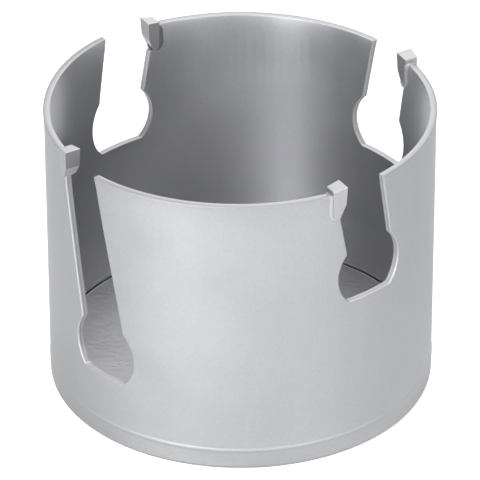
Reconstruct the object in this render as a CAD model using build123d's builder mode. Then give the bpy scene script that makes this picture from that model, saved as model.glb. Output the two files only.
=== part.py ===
# Hole saw with four brazed carbide tips, standing on its base with the teeth up.
# Millimetres, +Z up along the saw's axis, origin at the middle of the base's underside.
import os
from math import asin, cos, degrees, radians, sin, tan

from build123d import *

os.makedirs("parts", exist_ok=True)

# Rolled steel tube, its mouth a little flared
tube_radius = 42.0
wall = 1.5
rim_height = 65.5
flare = 0.15
flare_height = 2.5
foot_round = 1.2
ridge_proud = 0.12
ridge_width = 1.4

# Base plate pressed into the tube's foot, with its weld
plate_thickness = 5.3
plate_break = 0.4
weld_leg = 0.8
thread_bore = 14.5
thread_lead = 0.5
pin_hole = 6.6
pin_circle = 28.6
pin_count = 4

# Keyhole gullets, one ahead of each tip, one of them deeper than the rest
tip_count = 4
slot_width = 12.1
slot_lean = 10.4
slot_offset = 0.8
slot_corner = 0.6
slot_stagger = 0.5
bulb_radius = 8.45
bulb_height = 44.2
bulb_floor = 6.2
bulb_corner = 0.9
deep_slot = 3
deep_drop = 21.5

# Carbide tips
tip_outside = 1.0
tip_inside = 1.3
tip_length = 2.8
tip_height = 7.4
tip_stand = 1.5
tip_overhang = 2.2
tip_heel = 1.2
rake = 3.5
top_relief = 10.0
side_relief = 8.0
side_taper = 1.6
facet_depth = 4.2
facet_angle = 22.5

# Silver braze between a tip and its pocket
braze_gap = 0.2
braze_proud = 0.25
pocket_lip = 0.8

# Heights and places that follow from the sizes above
bore_radius = tube_radius - wall
cutting_radius = tube_radius + tip_outside
tip_width = tip_outside + wall + tip_inside
tip_top = rim_height + tip_stand
tip_foot = tip_top - tip_height
pocket_depth = tip_length + braze_gap
pocket_floor = tip_foot - braze_gap
lean_run = tan(radians(slot_lean))
half_slot = slot_width / 2 / cos(radians(slot_lean))
slot_edge = slot_offset - (rim_height - bulb_height) * lean_run - half_slot
tip_angle = degrees(asin(slot_edge / tube_radius) + tip_overhang / tube_radius)
facet_top = tip_top - facet_depth
facet_start = facet_depth * tan(radians(rake))
facet_end = facet_start + (facet_top - tip_foot) * tan(radians(facet_angle))
cut_reach = tube_radius + wall


def side_plane(angle):
    """Upright plane through the axis; its x runs round the tube and its y runs up."""
    outward = Vector(cos(radians(angle)), sin(radians(angle)), 0)
    around = Vector(-sin(radians(angle)), cos(radians(angle)), 0)
    return Plane(origin=(0, 0, 0), x_dir=around, z_dir=outward)


def gullet_angle(number):
    """Direction of a gullet: even turns, set alternately a little ahead and behind."""
    return 360 / tip_count * number + slot_stagger * (-1) ** number


def tip_direction(number):
    """Direction of a tip's cutting face: even turns, all alike."""
    return 360 / tip_count * number + tip_angle


def keyhole(drop):
    """Leaning open slot that ends in a round bulb with a flat floor."""
    bulb = (drop * lean_run, bulb_height - drop)
    reach = (rim_height + slot_width - bulb[1]) / cos(radians(slot_lean))
    with BuildSketch() as outline:
        with Locations(bulb):
            Circle(bulb_radius)
        with Locations(Location((bulb[0] + slot_offset, bulb[1], 0), (0, 0, slot_lean))):
            Rectangle(slot_width, reach, align=(Align.CENTER, Align.MIN))
        with Locations((bulb[0], bulb[1] - bulb_floor)):
            Rectangle(2 * bulb_radius, bulb_radius, align=(Align.CENTER, Align.MAX), mode=Mode.SUBTRACT)
        fillet(outline.vertices().sort_by(Axis.Y)[-4:-2], slot_corner)
        fillet(outline.vertices().sort_by(Axis.Y)[:2], bulb_corner)
    return outline.sketch


# Side view of a tip: raked cutting face, facet set back below it, and a top that falls behind
with BuildSketch() as tip_side:
    with BuildLine():
        Polyline(
            (0, tip_top),
            (-tip_length, tip_top - tip_length * tan(radians(top_relief))),
            (-tip_length, tip_foot),
            (-facet_end, tip_foot),
            (-facet_start, facet_top),
            close=True,
        )
    make_face()
    fillet(tip_side.vertices().group_by(Axis.Y)[0].sort_by(Axis.X)[0], tip_heel)

# Seat of a tip: an open step in the corner of the wall, round at its heel and at the rim
with BuildSketch() as pocket:
    lip_foot = (-pocket_depth, rim_height - pocket_lip)
    lip_top = (-pocket_depth - pocket_lip, rim_height)
    ahead = slot_width / 4
    with BuildLine():
        RadiusArc(lip_foot, lip_top, -pocket_lip)
        Polyline(
            lip_top,
            (lip_top[0], rim_height + pocket_lip),
            (ahead, rim_height + pocket_lip),
            (ahead, pocket_floor),
            (-pocket_depth, pocket_floor),
            lip_foot,
        )
    make_face()
    fillet(pocket.vertices().group_by(Axis.Y)[0].sort_by(Axis.X)[0], tip_heel + braze_gap)

# Film of braze behind and under a tip, the space that the tip leaves in its pocket
with BuildSketch() as film:
    add(pocket.sketch)
    add(tip_side.sketch, mode=Mode.SUBTRACT)
    with Locations((-pocket_depth, pocket_floor)):
        Rectangle(
            pocket_depth - facet_end,
            rim_height - pocket_lip - pocket_floor,
            align=(Align.MIN, Align.MIN),
            mode=Mode.INTERSECT,
        )

shallow_gullet = keyhole(0)
deep_gullet = keyhole(deep_drop)

# Tube: one turned wall with a pressed ridge over the plate, then the gullets and pockets
with BuildPart() as tube:
    ridge_height = plate_thickness - plate_break
    ridge_foot = (tube_radius, ridge_height - ridge_width / 2)
    ridge_top = (tube_radius, ridge_height + ridge_width / 2)
    with BuildSketch(Plane.XZ) as section:
        with BuildLine():
            ThreePointArc(ridge_foot, (tube_radius + ridge_proud, ridge_height), ridge_top)
            Polyline(
                ridge_top,
                (tube_radius, rim_height - flare_height),
                (tube_radius + flare, rim_height),
                (bore_radius + flare, rim_height),
                (bore_radius, rim_height - flare_height),
                (bore_radius, 0),
                (tube_radius, 0),
                ridge_foot,
            )
        make_face()
        fillet(section.vertices().group_by(Axis.Y)[0].sort_by(Axis.X)[-1], foot_round)
    revolve(axis=Axis.Z)
    for number in range(tip_count):
        with BuildSketch(side_plane(gullet_angle(number))):
            add(deep_gullet if number == deep_slot else shallow_gullet)
        extrude(amount=cut_reach, mode=Mode.SUBTRACT)
        with BuildSketch(side_plane(tip_direction(number))):
            add(pocket.sketch)
        extrude(amount=cut_reach, mode=Mode.SUBTRACT)

tube.part.label = "tube"
export_step(tube.part, "parts/tube.step")

# Base plate: thick disc with the threaded arbor hole and the drive pin holes round it
with BuildPart() as base_plate:
    Cylinder(bore_radius, plate_thickness, align=(Align.CENTER, Align.CENTER, Align.MIN))
    chamfer(base_plate.faces().sort_by(Axis.Z)[-1].edges(), plate_break)
    chamfer(base_plate.faces().sort_by(Axis.Z)[0].edges(), weld_leg)
    Hole(thread_bore / 2)
    chamfer(base_plate.edges().filter_by(GeomType.CIRCLE).sort_by(SortBy.RADIUS)[:2], thread_lead)
    with PolarLocations(pin_circle / 2, pin_count):
        Hole(pin_hole / 2)

base_plate.part.label = "base_plate"
export_step(base_plate.part, "parts/base_plate.step")

# Weld ring that fills the groove between plate and tube, ground flush with the base
with BuildPart() as base_weld:
    with BuildSketch(Plane.XZ):
        with BuildLine():
            Polyline((bore_radius, 0), (bore_radius, weld_leg), (bore_radius - weld_leg, 0), close=True)
        make_face()
    revolve(axis=Axis.Z)

base_weld.part.label = "base_weld"
export_step(base_weld.part, "parts/base_weld.step")

# Tips and their braze: each tip is its side view cut to a plan that narrows behind and below
for number in range(tip_count):
    side = side_plane(tip_direction(number))
    plan = Plane(origin=(0, 0, tip_top), x_dir=side.z_dir, z_dir=(0, 0, -1))
    relief_run = tan(radians(side_relief))
    with BuildPart() as tip:
        with BuildSketch(side):
            add(tip_side.sketch)
        extrude(amount=cutting_radius + tip_width)
        with BuildSketch(plan):
            with BuildLine():
                Polyline(
                    (cutting_radius - tip_width * (1 + relief_run), -tip_width),
                    (cutting_radius + tip_width * relief_run, -tip_width),
                    (cutting_radius - 2 * tip_width * relief_run, 2 * tip_width),
                    (cutting_radius - tip_width * (1 - 2 * relief_run), 2 * tip_width),
                    close=True,
                )
            make_face()
        extrude(amount=tip_height, taper=side_taper, mode=Mode.INTERSECT)
    tip.part.label = f"tip_{number + 1}"
    export_step(tip.part, f"parts/tip_{number + 1}.step")

    with BuildPart() as braze:
        with BuildSketch(side.offset(bore_radius - braze_proud)):
            add(film.sketch)
        extrude(amount=wall + 2 * braze_proud)
    braze.part.label = f"braze_{number + 1}"
    export_step(braze.part, f"parts/braze_{number + 1}.step")
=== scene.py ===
# Hole saw with four brazed carbide tips, standing with its teeth up. Metres, with the saw's axis on Z.
import bmesh
import bpy
from math import cos, hypot, pi, radians, sin
from mathutils import Matrix, Vector


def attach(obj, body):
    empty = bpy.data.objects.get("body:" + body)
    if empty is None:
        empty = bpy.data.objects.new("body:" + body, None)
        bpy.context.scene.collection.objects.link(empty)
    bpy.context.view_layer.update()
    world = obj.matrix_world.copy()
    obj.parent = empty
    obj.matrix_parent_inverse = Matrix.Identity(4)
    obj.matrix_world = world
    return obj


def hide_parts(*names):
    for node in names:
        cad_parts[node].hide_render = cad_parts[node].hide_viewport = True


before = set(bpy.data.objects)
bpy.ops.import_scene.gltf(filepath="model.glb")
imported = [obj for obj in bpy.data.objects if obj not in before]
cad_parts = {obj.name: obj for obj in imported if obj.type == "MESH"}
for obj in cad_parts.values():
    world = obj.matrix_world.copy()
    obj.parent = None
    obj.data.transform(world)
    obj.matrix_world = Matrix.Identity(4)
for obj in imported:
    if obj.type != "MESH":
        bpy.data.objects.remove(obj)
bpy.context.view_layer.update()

# Cup wall: 1.5 mm steel sheet rolled into a tube, its gullets punched from the outside, so the
# outer edge of each cut is drawn in and rounded and the inner half of the cut face is torn.
# The wall has a matt silver-grey coat, and two of its free corners have sprung outwards.
mm = 0.001
up = Vector((0.0, 0.0, 1.0))
wall_outside = 42.0 * mm
wall_inside = 40.5 * mm
wall_middle = (wall_outside + wall_inside) / 2
rim_height = 65.5 * mm
drawn_edge = 0.3 * mm
tumbled_edge = 0.13 * mm
foot_top = 10 * mm


def outward_at(turn):
    """Direction straight out from the saw's axis, turned by so many degrees."""
    return Vector((cos(radians(turn)), sin(radians(turn)), 0.0))


def take_up(piece):
    """Makes a piece the only one that is selected and worked on."""
    bpy.ops.object.select_all(action="DESELECT")
    bpy.context.view_layer.objects.active = piece
    piece.select_set(True)


def start_piece(name, node):
    """Copies a solid's mesh into a piece of its own and joins its loose triangles."""
    piece = bpy.data.objects.new(name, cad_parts[node].data.copy())
    bpy.context.collection.objects.link(piece)
    take_up(piece)
    bpy.ops.mesh.customdata_custom_splitnormals_clear()
    bpy.ops.object.mode_set(mode="EDIT")
    bpy.ops.mesh.select_all(action="SELECT")
    bpy.ops.mesh.remove_doubles(threshold=0.001 * mm)
    bpy.ops.mesh.dissolve_limited(angle_limit=radians(0.6))
    bpy.ops.mesh.select_all(action="DESELECT")
    bpy.ops.object.mode_set(mode="OBJECT")
    return piece


def round_edges(piece, width_at, steps=3, sharpness=30):
    """Rounds every sharp edge of a piece, each to the width that width_at gives for its middle."""
    bpy.ops.object.mode_set(mode="EDIT")
    mesh = bmesh.from_edit_mesh(piece.data)
    weight = mesh.edges.layers.float.new("bevel_weight_edge")
    widths = {}
    for edge in mesh.edges:
        if edge.calc_face_angle(0.0) > radians(sharpness):
            widths[edge] = width_at((edge.verts[0].co + edge.verts[1].co) / 2)
    widest = max(widths.values())
    for edge, width in widths.items():
        edge[weight] = width / widest
    bmesh.update_edit_mesh(piece.data)
    bpy.ops.object.mode_set(mode="OBJECT")
    rounding = piece.modifiers.new("rounding", "BEVEL")
    rounding.limit_method = "WEIGHT"
    rounding.width = widest
    rounding.segments = steps
    rounding.use_clamp_overlap = False
    rounding.loop_slide = False
    bpy.ops.object.modifier_apply(modifier="rounding")


def slice_piece(cuts):
    """Cuts new edges into the active piece, through places and across directions."""
    bpy.ops.object.mode_set(mode="EDIT")
    for place, direction in cuts:
        bpy.ops.mesh.select_all(action="SELECT")
        bpy.ops.mesh.bisect(plane_co=place, plane_no=direction)
    bpy.ops.mesh.select_all(action="DESELECT")
    bpy.ops.object.mode_set(mode="OBJECT")


def move_part(piece, chosen, by, reach=0.0):
    """Moves the vertices that chosen picks by their places, and draws those within reach along."""
    take_up(piece)
    bpy.ops.object.mode_set(mode="EDIT")
    bpy.ops.mesh.select_mode(type="VERT")
    mesh = bmesh.from_edit_mesh(piece.data)
    for vertex in mesh.verts:
        vertex.select_set(chosen(vertex.co))
    mesh.select_flush(True)
    bmesh.update_edit_mesh(piece.data)
    bpy.ops.transform.translate(
        value=by,
        use_proportional_edit=reach > 0.0,
        use_proportional_connected=True,
        proportional_edit_falloff="SMOOTH",
        proportional_size=max(reach, mm),
    )
    bpy.ops.mesh.select_all(action="DESELECT")
    bpy.ops.object.mode_set(mode="OBJECT")


def smooth_piece(piece, angle=40):
    """Shades a piece smooth, with its broad faces keeping their own direction."""
    bpy.ops.object.shade_smooth_by_angle(angle=radians(angle))
    weighted = piece.modifiers.new("weighted", "WEIGHTED_NORMAL")
    weighted.keep_sharp = True
    bpy.ops.object.modifier_apply(modifier="weighted")


def wall_edge_width(place):
    """Width of the rounding at a place on the wall's sharp edges; the foot keeps its own."""
    if place.z < foot_top:
        return 0.0
    on_rim = place.z > rim_height - 0.01 * mm
    on_outside = hypot(place.x, place.y) > wall_middle
    return drawn_edge if on_outside and not on_rim else tumbled_edge


cup_wall = start_piece("cup_wall", "tube")
round_edges(cup_wall, wall_edge_width)

# Level slices give the wall vertices to bend at, where its free corners have sprung
slice_piece([(up * height * mm, up) for height in range(10, 66, 5)])
corner_grip = 2.2 * mm
spring_reach = 34 * mm
for turn, sprung, lifted in ((184.2, 0.7 * mm, 0.35 * mm), (273.2, 0.5 * mm, 0.0)):
    corner = outward_at(turn) * wall_outside + up * rim_height
    move_part(
        cup_wall,
        lambda place: (place - corner).length < corner_grip,
        outward_at(turn) * sprung + up * lifted,
        spring_reach,
    )

# The seat of the left tip was cut a little higher than the others
high_seat = outward_at(260.26) * wall_middle
seat_half = 3.6 * mm
seat_low = 59.2 * mm
seat_high = 60.9 * mm
seat_rise = 0.7 * mm
move_part(
    cup_wall,
    lambda place: (place.xy - high_seat.xy).length < seat_half and seat_low < place.z < seat_high,
    up * seat_rise,
)
smooth_piece(cup_wall)


def new_material(name, colour, metallic, roughness):
    """Makes a material and returns it with its node tree and its shader."""
    material = bpy.data.materials.new(name)
    material.use_nodes = True
    shader = material.node_tree.nodes["Principled BSDF"]
    shader.inputs["Base Color"].default_value = (*colour, 1.0)
    shader.inputs["Metallic"].default_value = metallic
    shader.inputs["Roughness"].default_value = roughness
    return material, material.node_tree, shader


def add_node(tree, kind, **settings):
    """Adds a shader node and sets its properties and its unlinked inputs."""
    node = tree.nodes.new(kind)
    for key, value in settings.items():
        if key in node.inputs:
            node.inputs[key].default_value = value
        else:
            setattr(node, key, value)
    return node


def noise(tree, cells, detail=2.0, stretch=(1.0, 1.0, 1.0), turn=0.0):
    """Noise on the piece's own coordinates, with so many cells in a metre, lengthened by stretch."""
    place = add_node(tree, "ShaderNodeTexCoord")
    mapping = add_node(tree, "ShaderNodeMapping", vector_type="TEXTURE", Scale=stretch)
    mapping.inputs["Rotation"].default_value = (0.0, 0.0, radians(turn))
    texture = add_node(tree, "ShaderNodeTexNoise", Scale=cells, Detail=detail, Roughness=0.6)
    tree.links.new(place.outputs["Object"], mapping.inputs["Vector"])
    tree.links.new(mapping.outputs["Vector"], texture.inputs["Vector"])
    return texture.outputs["Fac"]


def blended(tree, socket, low, high, start=0.35, end=0.65):
    """Maps what a socket gives between start and end to the range from low to high."""
    ramp = add_node(tree, "ShaderNodeMapRange")
    ramp.inputs["From Min"].default_value = start
    ramp.inputs["From Max"].default_value = end
    ramp.inputs["To Min"].default_value = low
    ramp.inputs["To Max"].default_value = high
    tree.links.new(socket, ramp.inputs["Value"])
    return ramp.outputs["Result"]


def rough_up(tree, shader, height, relief, more=None, share=1.0):
    """Raises the surface by the pattern height, and by a second pattern with its own share."""
    if more:
        joined = add_node(tree, "ShaderNodeMath", operation="MULTIPLY_ADD")
        joined.inputs[1].default_value = share
        tree.links.new(more, joined.inputs[0])
        tree.links.new(height, joined.inputs[2])
        height = joined.outputs["Value"]
    bump = add_node(tree, "ShaderNodeBump", Strength=1.0, Distance=relief)
    tree.links.new(height, bump.inputs["Height"])
    tree.links.new(bump.outputs["Normal"], shader.inputs["Normal"])


def grey_coat(name, glossiest, mattest, deep, shallow, cool):
    """Silver-grey coat, patchy in its gloss; its grey is scaled from deep in the cup to shallow at the mouth,
    painted light where the two differ.
    """
    material, tree, shader = new_material(name, (0.405, 0.405, 0.41), 1.0, 0.52)
    grain = noise(tree, 2600.0)
    peel = noise(tree, 700.0, 3.0)
    patches = noise(tree, 60.0, 3.0)
    rough_up(tree, shader, peel, 0.012 * mm, grain, 0.5)
    tree.links.new(blended(tree, patches, glossiest, mattest), shader.inputs["Roughness"])
    tint = add_node(tree, "ShaderNodeMix", data_type="RGBA")
    tint.inputs["A"].default_value = (0.39, 0.392, 0.39 * cool, 1.0)
    tint.inputs["B"].default_value = (0.415, 0.418, 0.415 * cool, 1.0)
    tree.links.new(blended(tree, grain, 0.0, 1.0), tint.inputs["Factor"])
    # Painted light: the grey is scaled by height, by deep below 20 mm and by shallow above 50 mm, so a
    # lighter mouth stands in for how light falls there.
    place = add_node(tree, "ShaderNodeTexCoord")
    split = add_node(tree, "ShaderNodeSeparateXYZ")
    faded = add_node(tree, "ShaderNodeVectorMath", operation="SCALE")
    tree.links.new(place.outputs["Object"], split.inputs["Vector"])
    tree.links.new(tint.outputs["Result"], faded.inputs[0])
    fade = blended(tree, split.outputs["Z"], deep, shallow, 20 * mm, 50 * mm)
    tree.links.new(fade, faded.inputs["Scale"])
    tree.links.new(faded.outputs["Vector"], shader.inputs["Base Color"])
    return material


def radial_bands(tree, stops, inner, outer):
    """Greys given by stops between two distances from the saw's axis."""
    place = add_node(tree, "ShaderNodeTexCoord")
    flat = add_node(tree, "ShaderNodeVectorMath", operation="MULTIPLY")
    flat.inputs[1].default_value = (1.0, 1.0, 0.0)
    length = add_node(tree, "ShaderNodeVectorMath", operation="LENGTH")
    tree.links.new(place.outputs["Object"], flat.inputs[0])
    tree.links.new(flat.outputs["Vector"], length.inputs[0])
    bands = add_node(tree, "ShaderNodeValToRGB")
    steps = bands.color_ramp.elements
    for number, (at, grey) in enumerate(stops):
        stop = steps[number] if number < 2 else steps.new(at)
        stop.position = at
        stop.color = (grey, grey, grey * 1.01, 1.0)
    tree.links.new(blended(tree, length.outputs["Value"], 0.0, 1.0, inner, outer), bands.inputs["Fac"])
    return bands.outputs["Color"]


def banded_coat(name, stops):
    """The coat on a cut edge, its grey given by stops from the inside of the wall to the outside."""
    material, tree, shader = new_material(name, (0.36, 0.36, 0.362), 0.5, 0.5)
    tree.links.new(radial_bands(tree, stops, wall_inside, wall_outside), shader.inputs["Base Color"])
    tearing = noise(tree, 1400.0, 3.0, stretch=(1.0, 1.0, 2.5))
    rough_up(tree, shader, tearing, 0.04 * mm)
    return material


def finish_piece(piece, node, slot, *materials):
    """Gives a piece its materials and puts it in the place of a node of the part."""
    piece.data.materials.clear()
    for material in materials:
        piece.data.materials.append(material)
    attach(piece, "root")
    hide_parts(node)


# Cut faces: light and dark bands across the face; the last stop, over the drawn-in rounding, is darker as
# painted shade that damps its highlight.
cut_stops = ((0.0, 0.36), (0.25, 0.4), (0.5, 0.37), (0.57, 0.27), (0.63, 0.27), (0.7, 0.42), (0.85, 0.42))
coat = grey_coat("silver_grey_coat", 0.49, 0.56, deep=1.0, shallow=1.0, cool=1.03)
cut_coat = banded_coat("coat_on_cut_edges", (*cut_stops, (1.0, 0.36)))
# Rim: the grey falls towards the outer rounding, as painted shade that damps the highlight the rounding
# catches.
rim_coat_painted_shade = banded_coat("coat_on_rim_painted_shade", ((0.0, 0.4), (0.5, 0.4), (0.8, 0.33), (1.0, 0.27)))
# Inside: a thinner, glossier coat, with painted light that makes it nearly twice as light at the mouth as
# deep in the cup.
inside_coat_painted_light = grey_coat("thin_coat_inside_painted_light", 0.32, 0.37, deep=0.95, shallow=1.75, cool=1.045)
# Floor of the deep gullet: a dark line painted along its inner edge as shade, and its outer rounding kept dim
# as painted shade against its highlight.
gullet_floor_painted_shade = banded_coat("coat_on_gullet_floor_painted_shade", ((0.0, 0.24), (0.2, 0.3), (0.5, 0.36), (1.0, 0.33)))
finish_piece(cup_wall, "tube", "grey_coat", coat, cut_coat, rim_coat_painted_shade, inside_coat_painted_light, gullet_floor_painted_shade)

square_on = 0.985
foot_zone = 12 * mm
deep_floor = 18 * mm
for face in cup_wall.data.polygons:
    facing = face.normal.dot(Vector((face.center.x, face.center.y, 0.0)).normalized())
    # Inward faces take the inside coat with its painted light.
    if facing < -square_on:
        face.material_index = 3
    # Painted shade: the rim takes the grey that darkens towards its outer rounding.
    elif facing < square_on and face.center.z > rim_height - 0.2 * mm:
        face.material_index = 2
    # Painted shade: the upward faces of the deep gullet's floor take the darker floor grey.
    elif facing < square_on and foot_zone < face.center.z < deep_floor and face.normal.z > 0.3:
        face.material_index = 4
    elif facing < square_on and face.center.z > foot_zone:
        face.material_index = 1

# Arbor plate: disc of thick hot-rolled plate in the foot of the cup, bored and tapped 5/8-18
# for the arbor and drilled for its four drive pins, then coated with the cup.
thread_pitch = 25.4 / 18 * mm
thread_minor = 7.25 * mm
thread_major = 7.94 * mm
crest_starts = 0.44 * thread_pitch
crest_ends = 0.56 * thread_pitch
plate_top = 5.3 * mm
plate_edge = 0.12 * mm
tap_overrun = 1.0 * mm
tap_start = -2.5 * mm
tap_core = thread_minor - 0.05 * mm
tap_turns = 8
arbor_plate = start_piece("arbor_plate", "base_plate")
round_edges(arbor_plate, lambda place: plate_edge, 2)

# Tap: a rod with one turn's outline wound up its length, which cuts the thread
bpy.ops.object.select_all(action="DESELECT")
bpy.ops.mesh.primitive_plane_add(size=mm, rotation=(radians(90), 0.0, 0.0))
tap = bpy.context.object
bpy.ops.object.transform_apply(rotation=True)
bpy.ops.object.mode_set(mode="EDIT")
bpy.ops.mesh.delete(type="ONLY_FACE")
bpy.ops.mesh.select_mode(type="EDGE")
mesh = bmesh.from_edit_mesh(tap.data)
for edge in mesh.edges:
    edge.select_set(all(vertex.co.x < 0 for vertex in edge.verts))
bpy.ops.mesh.delete(type="EDGE")
bpy.ops.object.mode_set(mode="OBJECT")
turn_outline = (
    (tap_core, 0.0),
    (thread_major, crest_starts),
    (tap_core, thread_pitch),
    (thread_major, crest_ends),
)
for vertex, (radius, height) in zip(tap.data.vertices, turn_outline):
    vertex.co = (radius, 0.0, tap_start + height)
turning = tap.modifiers.new("turning", "SCREW")
turning.screw_offset = thread_pitch
turning.iterations = tap_turns
turning.steps = 72
turning.render_steps = 72
turning.use_merge_vertices = True
turning.merge_threshold = 0.001 * mm
bpy.ops.object.modifier_apply(modifier="turning")
bpy.ops.object.mode_set(mode="EDIT")
for end, direction in ((-tap_overrun, -up), (plate_top + tap_overrun, up)):
    bpy.ops.mesh.select_all(action="SELECT")
    bpy.ops.mesh.bisect(plane_co=up * end, plane_no=direction, clear_outer=True, use_fill=True)
bpy.ops.mesh.select_all(action="SELECT")
bpy.ops.mesh.normals_make_consistent(inside=False)
bpy.ops.object.mode_set(mode="OBJECT")

take_up(arbor_plate)
tapping = arbor_plate.modifiers.new("tapping", "BOOLEAN")
tapping.operation = "DIFFERENCE"
tapping.solver = "EXACT"
tapping.object = tap
bpy.ops.object.modifier_apply(modifier="tapping")
bpy.data.objects.remove(tap)
smooth_piece(arbor_plate, 35)

# Painted highlight and shade: the coat is painted light over the plate's broken edge and dark in the groove
# against the wall
plate_coat, tree, shader = new_material("coat_on_rough_plate", (0.42, 0.42, 0.426), 1.0, 0.52)
rolled = noise(tree, 850.0, 3.0, stretch=(1.6, 1.0, 1.0), turn=49.6)
scale_marks = noise(tree, 1300.0, 4.0)
rough_up(tree, shader, rolled, 0.13 * mm, scale_marks, 0.4)
edge_highlight_and_groove_shade = ((0.0, 0.395), (0.32, 0.395), (0.38, 0.95), (0.56, 0.95), (0.62, 0.1), (1.0, 0.08))
ragged = noise(tree, 280.0, 5.0)
tint = add_node(tree, "ShaderNodeMix", data_type="RGBA")
tint.inputs["A"].default_value = (0.395, 0.395, 0.41, 1.0)
tree.links.new(radial_bands(tree, edge_highlight_and_groove_shade, 39.5 * mm, 40.5 * mm), tint.inputs["B"])
tree.links.new(blended(tree, ragged, 0.1, 1.0, 0.4, 0.55), tint.inputs["Factor"])
tree.links.new(tint.outputs["Result"], shader.inputs["Base Color"])
finish_piece(arbor_plate, "base_plate", "grey_coat", plate_coat)

# Foot weld: ring of weld metal that joins plate and wall at the underside. It is ground flush
# with both before the cup is coated.
foot_weld = start_piece("foot_weld", "base_weld")
smooth_piece(foot_weld, 30)
finish_piece(foot_weld, "base_weld", "grey_coat", coat)

# Tips: sintered tungsten carbide, ground on the top, sides and cutting face. They are coated
# with the cup, so their edges look soft. Each is set by hand and stands a little differently.
tip_edge = 0.14 * mm
tip_turn = -9.74
outward = outward_at(tip_turn)
ahead = outward_at(tip_turn + 90)
tip_back_half = -1.75 * mm
tip_foot_zone = 61.2 * mm


def carbide_coat(name, grey):
    """Coat on ground carbide: the grain of the carbide and small lumps in the coat."""
    material, tree, shader = new_material(name, (grey, grey, grey * 1.01), 1.0, 0.5)
    carbide_grain = noise(tree, 4000.0)
    lumps = noise(tree, 900.0)
    rough_up(tree, shader, lumps, 0.03 * mm, carbide_grain, 0.4)
    return material


def turned_copy(piece, name, quarter_turns):
    """A copy of a piece at another of the four tips, with its own mesh."""
    twin = bpy.data.objects.new(name, piece.data.copy())
    bpy.context.collection.objects.link(twin)
    take_up(twin)
    twin.rotation_euler = (0.0, 0.0, quarter_turns * pi / 2)
    bpy.ops.object.transform_apply(rotation=True)
    return twin


# The tips share one coat, given three greys by which way their faces turn: painted light on the lower facet
# and the outward side, and painted shade on the rest.
carbide = carbide_coat("coated_carbide", 0.36)
facet_painted_light = carbide_coat("coated_carbide_facet_painted_light", 0.5)
side_painted_light = carbide_coat("coated_carbide_side_painted_light", 0.42)
first_tip = start_piece("carbide_tip_1", "tip_1")
round_edges(first_tip, lambda place: tip_edge, 3, 15)
tips = [first_tip] + [turned_copy(first_tip, f"carbide_tip_{number + 1}", number) for number in (1, 2, 3)]

# How much longer each tip is than the drawn one, and how far it stands forward and out, in mm
tip_settings = ((0.45, 0.0, 0.0), (0.45, -0.15, 0.5), (0.3, -0.15, 0.0), (0.45, 0.0, 0.0))
for number, (tip, (longer, forward, out)) in enumerate(zip(tips, tip_settings)):
    quarter = Matrix.Rotation(number * pi / 2, 3, "Z")
    tip_ahead = quarter @ ahead
    tip_outward = quarter @ outward
    move_part(tip, lambda place: place.dot(tip_ahead) > tip_back_half, tip_ahead * longer * mm)
    move_part(tip, lambda place: True, tip_ahead * forward * mm + tip_outward * out * mm)
    if number == 3:
        move_part(tip, lambda place: place.z < tip_foot_zone, up * seat_rise)
    smooth_piece(tip, 60)
    finish_piece(tip, f"tip_{number + 1}", "carbide", carbide, facet_painted_light, side_painted_light)
    # Painted light and shade: faces turned forward and down take the facet grey, and faces turned outward
    # take the side grey.
    for face in tip.data.polygons:
        if face.normal.dot(tip_ahead) > 0.8 and face.normal.z < -0.2:
            face.material_index = 1
        elif face.normal.dot(tip_outward) > 0.5:
            face.material_index = 2

# Braze: thin film of silver braze that fills the seat behind and under each tip. It has run out at both faces
# of the wall into a small fillet against the tip; one film is painted dark as the shadow its tip casts on the
# inside of the wall.
heel_back = -1.6 * mm
heel_level = 60.8 * mm
heel_radius = 1.3 * mm
film_faces = 0.7 * mm
film_edge = 0.1 * mm
film_front = -1.2 * mm
film_floor = 59.5 * mm


def off_middle(place):
    """How far out a place on the first film lies from the middle of the wall."""
    return place.dot(outward) - wall_middle


def beside_wall(place):
    """Whether a place on the film lies on its side against the wall, not against the tip's round heel."""
    return hypot(min(place.dot(ahead) - heel_back, 0.0), min(place.z - heel_level, 0.0)) > heel_radius


def film_edge_width(place):
    """Width of the rounding at a place on the film's edges; those that end on the wall stay sharp."""
    return 0.0 if beside_wall(place) and abs(off_middle(place)) > 0.5 * mm else film_edge


def braze_metal(name, grey):
    """Silver braze with the small waves in which it set."""
    material, tree, shader = new_material(name, (grey, grey, grey * 1.01), 1.0, 0.5)
    rough_up(tree, shader, noise(tree, 1200.0), 0.04 * mm)
    return material


first_braze = start_piece("braze_film_1", "braze_1")
slice_piece([(outward * 40.6 * mm, outward), (outward * 41.7 * mm, outward), (up * 64.3 * mm, up)])

# Fillets: the film's sides are drawn back over the wall, and its inner side swells beside the tip
move_part(
    first_braze,
    lambda place: off_middle(place) < -film_faces and not beside_wall(place),
    outward * -0.45 * mm,
)
for side, leg, sunk in ((1, 0.4 * mm, -0.36 * mm), (-1, 0.45 * mm, 0.05 * mm)):
    for above_heel, back in ((True, -ahead * leg), (False, (-ahead - up) * 0.5 * leg)):
        move_part(
            first_braze,
            lambda place: side * off_middle(place) > film_faces
            and beside_wall(place)
            and (place.z > heel_level - 0.1 * mm) == above_heel,
            back + outward * sunk,
        )

# Top: it stands as high as the rim and closes the rounded corner of the seat
film_top = 64.6 * mm
raised_top = 65.0 * mm
move_part(first_braze, lambda place: place.z > film_top, up * 0.6 * mm)
move_part(first_braze, lambda place: place.z > raised_top and off_middle(place) > -film_faces, up * 0.3 * mm)
move_part(
    first_braze,
    lambda place: place.z > raised_top and abs(off_middle(place)) < film_faces and beside_wall(place),
    -ahead * 0.45 * mm - up * 0.15 * mm,
)

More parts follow.
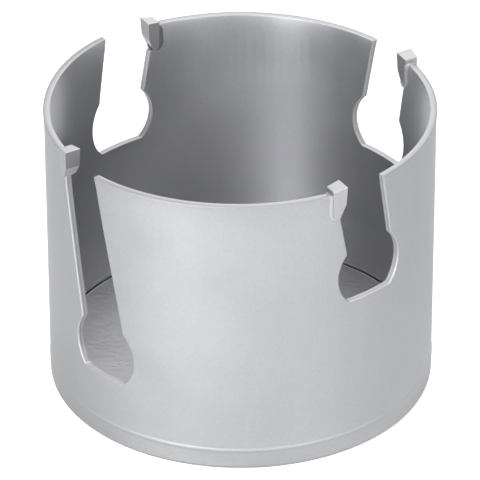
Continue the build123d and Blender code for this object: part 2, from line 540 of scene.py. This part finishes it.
# Front end: drawn out under the tip's facet and raised against it
bpy.ops.object.mode_set(mode="EDIT")
bpy.ops.mesh.select_mode(type="FACE")
mesh = bmesh.from_edit_mesh(first_braze.data)
for face in mesh.faces:
    face.select_set(face.normal.dot(ahead) > 0.9 and face.calc_center_median().z < 60 * mm)
bmesh.update_edit_mesh(first_braze.data)
bpy.ops.mesh.extrude_region_move(TRANSFORM_OT_translate={"value": ahead * 0.7 * mm})
bpy.ops.mesh.select_all(action="DESELECT")
bpy.ops.object.mode_set(mode="OBJECT")
for above_floor, by in ((True, up * 0.75 * mm), (False, -ahead * 0.25 * mm)):
    move_part(
        first_braze,
        lambda place: place.dot(ahead) > film_front and (place.z > film_floor) == above_floor,
        by,
    )
round_edges(first_braze, film_edge_width)
smooth_piece(first_braze, 60)

# The braze is lighter than the coat: partly its own bare silver, and partly painted highlight on the bead.
bright_braze = braze_metal("silver_braze", 0.53)
# Painted shadow: the dark grey for the film that stands in the shadow of its tip.
braze_painted_shadow = braze_metal("silver_braze_painted_shadow", 0.26)
# Painted shade: a darker grey for the films' top faces, to damp the highlight they catch.
braze_top_painted_shade = braze_metal("silver_braze_top_painted_shade", 0.38)
films = [first_braze] + [turned_copy(first_braze, f"braze_film_{number + 1}", number) for number in (1, 2, 3)]

# The film half a turn round from the first, painted dark as shadow, has run further over the inside of the
# wall
half_turn = Matrix.Rotation(pi, 3, "Z")
for below, back, inward in ((64.5 * mm, 0.6 * mm, 0.07 * mm), (63.0 * mm, 0.2 * mm, 0.0)):
    move_part(
        films[2],
        lambda place: off_middle(half_turn @ place) < -film_faces
        and beside_wall(half_turn @ place)
        and place.z < below,
        ahead * back + outward * inward,
    )
move_part(films[3], lambda place: place.z < tip_foot_zone, up * seat_rise)
for number, film in enumerate(films):
    # The film half a turn round takes only the painted shadow grey; the others take the bright grey, with
    # painted shade on their tops.
    film_metals = (braze_painted_shadow,) if number == 2 else (bright_braze, braze_top_painted_shade)
    finish_piece(film, f"braze_{number + 1}", "braze", *film_metals)
    # Painted shade: the upward top faces of the bright films take the darker top grey.
    for face in film.data.polygons:
        if len(film_metals) > 1 and face.normal.z > 0.4 and face.center.z > film_top:
            face.material_index = 1

# Studio: white floor and surroundings, bright to the camera and in reflections but dim as light
# on the object, and soft disc lamps that stand round it.
floor_gap = 0.02 * mm
floor_glow = 0.5
floor_mirrored = 0.07
saw_middle = up * 35 * mm
lamp_distance = 1.0
lamp_width = 0.35
view_heading = 49.6


def seen_strength(tree, seen, mirrored):
    """Strength of a glow: seen for camera and transmission rays, mirrored for glossy ones."""
    path = add_node(tree, "ShaderNodeLightPath")
    direct = add_node(tree, "ShaderNodeMath", operation="MAXIMUM")
    tree.links.new(path.outputs["Is Camera Ray"], direct.inputs[0])
    tree.links.new(path.outputs["Is Transmission Ray"], direct.inputs[1])
    reflected = add_node(tree, "ShaderNodeMath", operation="MULTIPLY")
    reflected.inputs[1].default_value = mirrored
    tree.links.new(path.outputs["Is Glossy Ray"], reflected.inputs[0])
    strength = add_node(tree, "ShaderNodeMath", operation="MULTIPLY_ADD")
    strength.inputs[1].default_value = seen
    tree.links.new(direct.outputs["Value"], strength.inputs[0])
    tree.links.new(reflected.outputs["Value"], strength.inputs[2])
    return strength.outputs["Value"]


bpy.ops.object.select_all(action="DESELECT")
bpy.ops.mesh.primitive_plane_add(size=6.0, location=-up * floor_gap)
floor = bpy.context.object
floor.name = "floor"
floor_paint, tree, shader = new_material("floor_paint", (0.8, 0.8, 0.8), 0.0, 0.9)
tree.links.new(seen_strength(tree, floor_glow, floor_mirrored), shader.inputs["Emission Strength"])
floor.data.materials.append(floor_paint)

world = bpy.data.worlds.new("studio")
bpy.context.scene.world = world
world.use_nodes = True
surroundings = world.node_tree.nodes["Background"]
surroundings.inputs["Color"].default_value = (1.0, 1.0, 1.0, 1.0)
world.node_tree.links.new(seen_strength(world.node_tree, 1.0, 1.0), surroundings.inputs["Strength"])
bpy.context.scene.view_settings.view_transform = "Standard"

# Each lamp: its heading and elevation as seen from the camera, in degrees, and its watts
lamps = (
    ("key_left", -30, 25, 8.2),
    ("low_left", -30, 8, 4.7),
    ("low_right", 30, 8, 2.6),
    ("high_left", -45, 45, 0.9),
    ("right", 45, 8, 1.1),
    ("right_back", 135, 8, 1.4),
    ("high_right_back", 135, 45, 1.2),
    ("top_right", 60, 68, 1.8),
    ("top_right_back", 120, 68, 1.7),
    ("top_back", 180, 68, 2.1),
    ("back", 180, 25, 1.0),
)
for name, around, elevation, watts in lamps:
    lamp_data = bpy.data.lights.new(name, "AREA")
    lamp_data.shape = "DISK"
    lamp_data.size = lamp_width
    lamp_data.energy = watts
    lamp = bpy.data.objects.new(name, lamp_data)
    bpy.context.collection.objects.link(lamp)
    level = outward_at(around - 90 + view_heading)
    towards = level * cos(radians(elevation)) + up * sin(radians(elevation))
    lamp.location = saw_middle + towards * lamp_distance
    lamp.rotation_euler = towards.to_track_quat("Z", "Y").to_euler()

# Camera: a long lens about a metre away, which looks down into the cup. It stands where the
# photograph's outlines put it.
camera_elevation = 31.426
camera_roll = -0.203
camera_distance = 0.98923
aim_aside = -0.00013
aim_height = 0.0319
camera_data = bpy.data.cameras.new("camera")
camera_data.lens = 340.9
camera_data.sensor_width = 36.0
camera_data.clip_start = 0.01
camera_data.clip_end = 20.0
camera = bpy.data.objects.new("camera", camera_data)
bpy.context.collection.objects.link(camera)
heading = Matrix.Rotation(radians(view_heading), 3, "Z")
tilt = Matrix.Rotation(radians(90 - camera_elevation), 3, "X")
roll = Matrix.Rotation(radians(camera_roll), 3, "Z")
camera_turn = heading @ tilt @ roll
aim = heading @ Vector((aim_aside, 0.0, aim_height))
camera.location = aim + camera_turn @ (up * camera_distance)
camera.rotation_euler = camera_turn.to_euler()
bpy.context.scene.camera = camera
